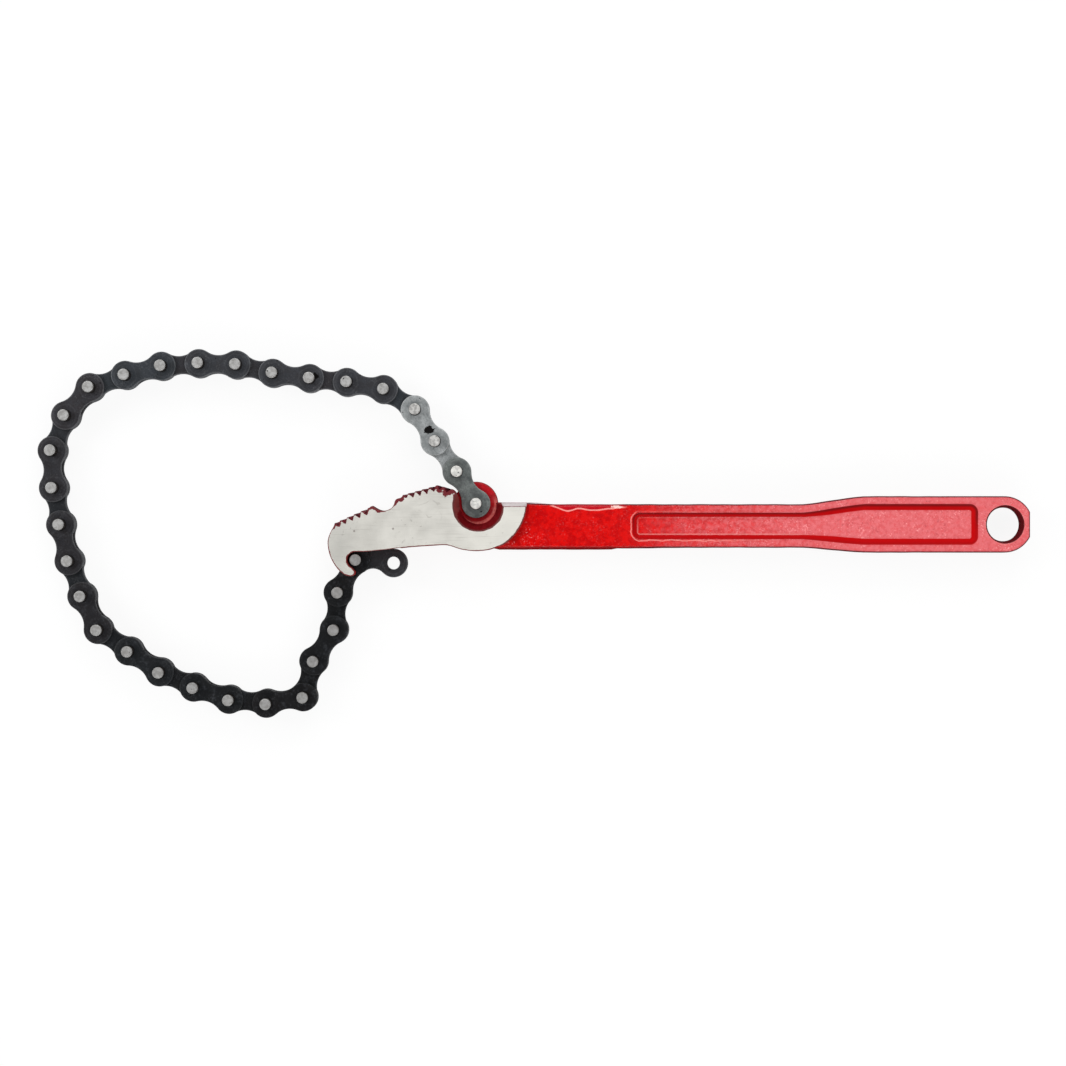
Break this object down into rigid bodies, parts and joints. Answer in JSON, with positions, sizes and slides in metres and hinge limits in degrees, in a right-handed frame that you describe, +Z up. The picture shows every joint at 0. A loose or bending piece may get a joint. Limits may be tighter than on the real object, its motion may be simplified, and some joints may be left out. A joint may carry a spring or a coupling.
{
  "type": "chain pipe wrench",
  "caption": "Chain pipe wrench: a forged handle with a toothed, hooked jaw, and a plate chain laid in a loop with its end pin held in the hook.",
  "frame": {"origin": "middle of the footprint of the whole tool as it lies, at the height of the bench that the head's lower ground face rests on", "axes": "+X along the handle, from the jaw to the hang hole; +Y across the handle, to the side that the teeth are on; +Z up from the bench, along the chain's pins"},
  "size_m": [0.421, 0.1566, 0.017],
  "materials": {
    "red_paint": "thick glossy red paint over a forging, ground bare on the head's two faces",
    "link_steel_dark": "oiled dark grey steel plates, pins with pale riveted ends",
    "link_steel_grey": "grey steel",
    "link_steel_pale": "lighter grey steel"
  },
  "bodies": {
    "wrench_body": {"wrench_body": "red_paint"},
    "link_01": {"outer_link_01": "link_steel_grey"},
    "link_02": {"inner_plate_02_upper": "link_steel_pale", "inner_plate_02_lower": "link_steel_pale"},
    "link_03": {"outer_link_03": "link_steel_pale"},
    "link_04": {"inner_plate_04_upper": "link_steel_dark", "inner_plate_04_lower": "link_steel_dark"},
    "link_05": {"outer_link_05": "link_steel_dark"},
    "link_06": {"inner_plate_06_upper": "link_steel_dark", "inner_plate_06_lower": "link_steel_dark"},
    "link_07": {"outer_link_07": "link_steel_dark"},
    "link_08": {"inner_plate_08_upper": "link_steel_dark", "inner_plate_08_lower": "link_steel_dark"},
    "link_09": {"outer_link_09": "link_steel_dark"},
    "link_10": {"inner_plate_10_upper": "link_steel_dark", "inner_plate_10_lower": "link_steel_dark"},
    "link_11": {"outer_link_11": "link_steel_dark"},
    "link_12": {"inner_plate_12_upper": "link_steel_dark", "inner_plate_12_lower": "link_steel_dark"},
    "link_13": {"outer_link_13": "link_steel_dark"},
    "link_14": {"inner_plate_14_upper": "link_steel_dark", "inner_plate_14_lower": "link_steel_dark"},
    "link_15": {"outer_link_15": "link_steel_dark"},
    "link_16": {"inner_plate_16_upper": "link_steel_dark", "inner_plate_16_lower": "link_steel_dark"},
    "link_17": {"outer_link_17": "link_steel_dark"},
    "link_18": {"inner_plate_18_upper": "link_steel_dark", "inner_plate_18_lower": "link_steel_dark"},
    "link_19": {"outer_link_19": "link_steel_dark"},
    "link_20": {"inner_plate_20_upper": "link_steel_dark", "inner_plate_20_lower": "link_steel_dark"},
    "link_21": {"outer_link_21": "link_steel_dark"},
    "link_22": {"inner_plate_22_upper": "link_steel_dark", "inner_plate_22_lower": "link_steel_dark"},
    "link_23": {"outer_link_23": "link_steel_dark"},
    "link_24": {"inner_plate_24_upper": "link_steel_dark", "inner_plate_24_lower": "link_steel_dark"},
    "link_25": {"outer_link_25": "link_steel_dark"},
    "link_26": {"inner_plate_26_upper": "link_steel_dark", "inner_plate_26_lower": "link_steel_dark"},
    "link_27": {"outer_link_27": "link_steel_dark"},
    "link_28": {"inner_plate_28_upper": "link_steel_dark", "inner_plate_28_lower": "link_steel_dark"},
    "link_29": {"outer_link_29": "link_steel_dark"},
    "link_30": {"inner_plate_30_upper": "link_steel_dark", "inner_plate_30_lower": "link_steel_dark"}
  },
  "joints": [
    {"name": "chain_pivot_01", "type": "hinge", "parent": "wrench_body", "child": "link_01", "pos_m": [-0.0244, 0.01264, 0.0085], "axis": [0, 0, 1], "range_deg": [-30, 0]},
    {"name": "chain_pivot_02", "type": "hinge", "parent": "link_01", "child": "link_02", "pos_m": [-0.03258, 0.02624, 0.0085], "axis": [0, 0, 1], "range_deg": [-10, 0]},
    {"name": "chain_pivot_03", "type": "hinge", "parent": "link_02", "child": "link_03", "pos_m": [-0.04191, 0.03909, 0.0085], "axis": [0, 0, 1], "range_deg": [-10, 0]},
    {"name": "chain_pivot_04", "type": "hinge", "parent": "link_03", "child": "link_04", "pos_m": [-0.05032, 0.05255, 0.0085], "axis": [0, 0, 1], "range_deg": [0, 20]},
    {"name": "chain_pivot_05", "type": "hinge", "parent": "link_04", "child": "link_05", "pos_m": [-0.06364, 0.06119, 0.0085], "axis": [0, 0, 1], "range_deg": [0, 20]},
    {"name": "chain_pivot_06", "type": "hinge", "parent": "link_05", "child": "link_06", "pos_m": [-0.07922, 0.06421, 0.0085], "axis": [0, 0, 1], "range_deg": [0, 20]},
    {"name": "chain_pivot_07", "type": "hinge", "parent": "link_06", "child": "link_07", "pos_m": [-0.09501, 0.06586, 0.0085], "axis": [0, 0, 1], "range_deg": [0, 20]},
    {"name": "chain_pivot_08", "type": "hinge", "parent": "link_07", "child": "link_08", "pos_m": [-0.11073, 0.06806, 0.0085], "axis": [0, 0, 1], "range_deg": [0, 20]},
    {"name": "chain_pivot_09", "type": "hinge", "parent": "link_08", "child": "link_09", "pos_m": [-0.1262, 0.07163, 0.0085], "axis": [0, 0, 1], "range_deg": [-3, 0]},
    {"name": "chain_pivot_10", "type": "hinge", "parent": "link_09", "child": "link_10", "pos_m": [-0.14207, 0.07217, 0.0085], "axis": [0, 0, 1], "range_deg": [-3, 0]},
    {"name": "chain_pivot_11", "type": "hinge", "parent": "link_10", "child": "link_11", "pos_m": [-0.1579, 0.07105, 0.0085], "axis": [0, 0, 1], "range_deg": [-3, 0]},
    {"name": "chain_pivot_12", "type": "hinge", "parent": "link_11", "child": "link_12", "pos_m": [-0.1733, 0.0672, 0.0085], "axis": [0, 0, 1], "range_deg": [-3, 0]},
    {"name": "chain_pivot_13", "type": "hinge", "parent": "link_12", "child": "link_13", "pos_m": [-0.18831, 0.06202, 0.0085], "axis": [0, 0, 1], "range_deg": [-3, 0]},
    {"name": "chain_pivot_14", "type": "hinge", "parent": "link_13", "child": "link_14", "pos_m": [-0.19872, 0.05004, 0.0085], "axis": [0, 0, 1], "range_deg": [-3, 0]},
    {"name": "chain_pivot_15", "type": "hinge", "parent": "link_14", "child": "link_15", "pos_m": [-0.2044, 0.03521, 0.0085], "axis": [0, 0, 1], "range_deg": [-3, 0]},
    {"name": "chain_pivot_16", "type": "hinge", "parent": "link_15", "child": "link_16", "pos_m": [-0.20384, 0.01935, 0.0085], "axis": [0, 0, 1], "range_deg": [-3, 0]},
    {"name": "chain_pivot_17", "type": "hinge", "parent": "link_16", "child": "link_17", "pos_m": [-0.20081, 0.00377, 0.0085], "axis": [0, 0, 1], "range_deg": [-3, 0]},
    {"name": "chain_pivot_18", "type": "hinge", "parent": "link_17", "child": "link_18", "pos_m": [-0.19723, -0.0117, 0.0085], "axis": [0, 0, 1], "range_deg": [-3, 0]},
    {"name": "chain_pivot_19", "type": "hinge", "parent": "link_18", "child": "link_19", "pos_m": [-0.1918, -0.02662, 0.0085], "axis": [0, 0, 1], "range_deg": [-3, 0]},
    {"name": "chain_pivot_20", "type": "hinge", "parent": "link_19", "child": "link_20", "pos_m": [-0.18484, -0.04089, 0.0085], "axis": [0, 0, 1], "range_deg": [-3, 0]},
    {"name": "chain_pivot_21", "type": "hinge", "parent": "link_20", "child": "link_21", "pos_m": [-0.17184, -0.05, 0.0085], "axis": [0, 0, 1], "range_deg": [-3, 0]},
    {"name": "chain_pivot_22", "type": "hinge", "parent": "link_21", "child": "link_22", "pos_m": [-0.15868, -0.05888, 0.0085], "axis": [0, 0, 1], "range_deg": [-3, 0]},
    {"name": "chain_pivot_23", "type": "hinge", "parent": "link_22", "child": "link_23", "pos_m": [-0.14418, -0.06534, 0.0085], "axis": [0, 0, 1], "range_deg": [-3, 0]},
    {"name": "chain_pivot_24", "type": "hinge", "parent": "link_23", "child": "link_24", "pos_m": [-0.12917, -0.07051, 0.0085], "axis": [0, 0, 1], "range_deg": [-3, 0]},
    {"name": "chain_pivot_25", "type": "hinge", "parent": "link_24", "child": "link_25", "pos_m": [-0.11338, -0.07218, 0.0085], "axis": [0, 0, 1], "range_deg": [-40, 0]},
    {"name": "chain_pivot_26", "type": "hinge", "parent": "link_25", "child": "link_26", "pos_m": [-0.09775, -0.06944, 0.0085], "axis": [0, 0, 1], "range_deg": [-40, 0]},
    {"name": "chain_pivot_27", "type": "hinge", "parent": "link_26", "child": "link_27", "pos_m": [-0.09337, -0.05418, 0.0085], "axis": [0, 0, 1], "range_deg": [-40, 0]},
    {"name": "chain_pivot_28", "type": "hinge", "parent": "link_27", "child": "link_28", "pos_m": [-0.08471, -0.04087, 0.0085], "axis": [0, 0, 1], "range_deg": [-40, 0]},
    {"name": "chain_pivot_29", "type": "hinge", "parent": "link_28", "child": "link_29", "pos_m": [-0.08304, -0.02508, 0.0085], "axis": [0, 0, 1], "range_deg": [-40, 0]},
    {"name": "chain_pivot_30", "type": "hinge", "parent": "link_29", "child": "link_30", "pos_m": [-0.07534, -0.0112, 0.0085], "axis": [0, 0, 1], "range_deg": [-50, 0]}
  ],
  "couplings": [
    {"joint": "chain_pivot_01", "follows": "chain_pivot_24", "ratio": 10},
    {"joint": "chain_pivot_02", "follows": "chain_pivot_24", "ratio": 3.3333},
    {"joint": "chain_pivot_03", "follows": "chain_pivot_24", "ratio": 3.3333},
    {"joint": "chain_pivot_04", "follows": "chain_pivot_24", "ratio": -6.6667},
    {"joint": "chain_pivot_05", "follows": "chain_pivot_24", "ratio": -6.6667},
    {"joint": "chain_pivot_06", "follows": "chain_pivot_24", "ratio": -6.6667},
    {"joint": "chain_pivot_07", "follows": "chain_pivot_24", "ratio": -6.6667},
    {"joint": "chain_pivot_08", "follows": "chain_pivot_24", "ratio": -6.6667},
    {"joint": "chain_pivot_09", "follows": "chain_pivot_24", "ratio": 1},
    {"joint": "chain_pivot_10", "follows": "chain_pivot_24", "ratio": 1},
    {"joint": "chain_pivot_11", "follows": "chain_pivot_24", "ratio": 1},
    {"joint": "chain_pivot_12", "follows": "chain_pivot_24", "ratio": 1},
    {"joint": "chain_pivot_13", "follows": "chain_pivot_24", "ratio": 1},
    {"joint": "chain_pivot_14", "follows": "chain_pivot_24", "ratio": 1},
    {"joint": "chain_pivot_15", "follows": "chain_pivot_24", "ratio": 1},
    {"joint": "chain_pivot_16", "follows": "chain_pivot_24", "ratio": 1},
    {"joint": "chain_pivot_17", "follows": "chain_pivot_24", "ratio": 1},
    {"joint": "chain_pivot_18", "follows": "chain_pivot_24", "ratio": 1},
    {"joint": "chain_pivot_19", "follows": "chain_pivot_24", "ratio": 1},
    {"joint": "chain_pivot_20", "follows": "chain_pivot_24", "ratio": 1},
    {"joint": "chain_pivot_21", "follows": "chain_pivot_24", "ratio": 1},
    {"joint": "chain_pivot_22", "follows": "chain_pivot_24", "ratio": 1},
    {"joint": "chain_pivot_23", "follows": "chain_pivot_24", "ratio": 1}
  ]
}
